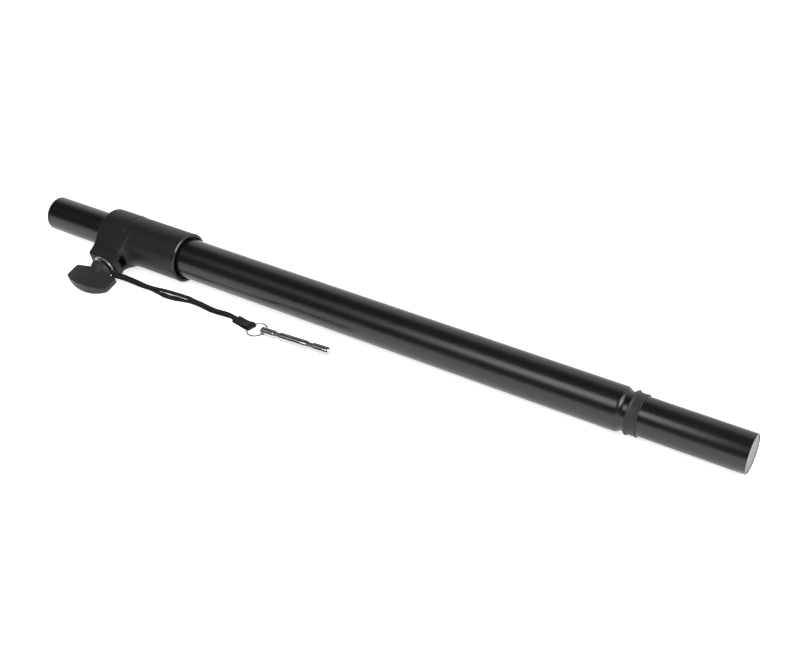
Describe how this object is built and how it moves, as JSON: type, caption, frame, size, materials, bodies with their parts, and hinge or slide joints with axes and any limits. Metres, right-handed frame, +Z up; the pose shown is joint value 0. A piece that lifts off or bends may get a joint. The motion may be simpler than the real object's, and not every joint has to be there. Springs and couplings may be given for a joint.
{
  "type": "speaker pole",
  "caption": "Extendable steel pole for a loudspeaker: an inner tube slides in a wider tube with a clamp collar and wing knob, with a spigot end and a tethered safety pin.",
  "frame": {"origin": "middle of the footprint, on the floor that the pole lies on, with collar and tube touching it", "axes": "+X along the pole towards the spigot end, +Y away from the clamp knob, +Z up; the pole's axis leans 0.455 degrees, spigot end down"},
  "size_m": [0.7584, 0.1028, 0.0515],
  "materials": {
    "black_paint": "satin",
    "collar_plastic": "fine matte grain",
    "knob_plastic": "fine matte grain",
    "ring_plastic": "matte",
    "dark_plastic": "matte",
    "grey_plastic": "fine texture",
    "bright_steel": "bright",
    "zinc_steel": "zinc",
    "black_tape": "flat woven tape"
  },
  "bodies": {
    "pole_body": {"outer_tube": "black_paint", "spigot_plug": "grey_plastic", "shoulder_ring": "ring_plastic", "collar": "collar_plastic", "rivet_upper": "zinc_steel", "rivet_lower": "zinc_steel", "clamp_nut": "zinc_steel", "knob_washer": "bright_steel", "lanyard_loop": "black_tape", "lanyard_strand_upper": "black_tape", "lanyard_strand_lower": "black_tape", "lanyard_tab": "black_tape"},
    "guide": {"lower_guide": "dark_plastic"},
    "mast": {"inner_tube": "black_paint", "top_cap": "dark_plastic"},
    "shoe": {"clamp_shoe": "dark_plastic"},
    "knob": {"knob": "knob_plastic", "clamp_screw": "zinc_steel"},
    "ring": {"split_ring": "bright_steel"},
    "pin": {"safety_pin": "bright_steel"}
  },
  "joints": [
    {"name": "mast_slide", "type": "slide", "parent": "pole_body", "child": "guide", "axis": [-0.9999, 0, 0.0112], "range_m": [0, 0.44]},
    {"name": "mast_turn", "type": "hinge", "parent": "guide", "child": "mast", "pos_m": [0.22453, 0.02573, 0.02047], "axis": [-0.9999, 0, 0.0112], "continuous": true},
    {"name": "clamp_travel", "type": "slide", "parent": "pole_body", "child": "shoe", "axis": [-0.0029, -0.9659, -0.2588], "range_m": [0, 0.0025]},
    {"name": "knob_turn", "type": "hinge", "parent": "shoe", "child": "knob", "pos_m": [-0.27544, 0.02573, 0.02605], "axis": [-0.0029, -0.9659, -0.2588], "range_deg": [0, 720]},
    {"name": "ring_swing", "type": "hinge", "parent": "pole_body", "child": "ring", "pos_m": [-0.09146, -0.0154, 0.00285], "axis": [-0.2062, -0.9785, 0], "range_deg": [-80, 80]},
    {"name": "pin_swing", "type": "hinge", "parent": "ring", "child": "pin", "pos_m": [-0.07343, -0.01677, 0.004], "axis": [0.0526, -0.9931, -0.1051], "range_deg": [-80, 80]}
  ],
  "couplings": [
    {"joint": "knob_turn", "follows": "clamp_travel", "rad_per_m": 5026.5}
  ]
}
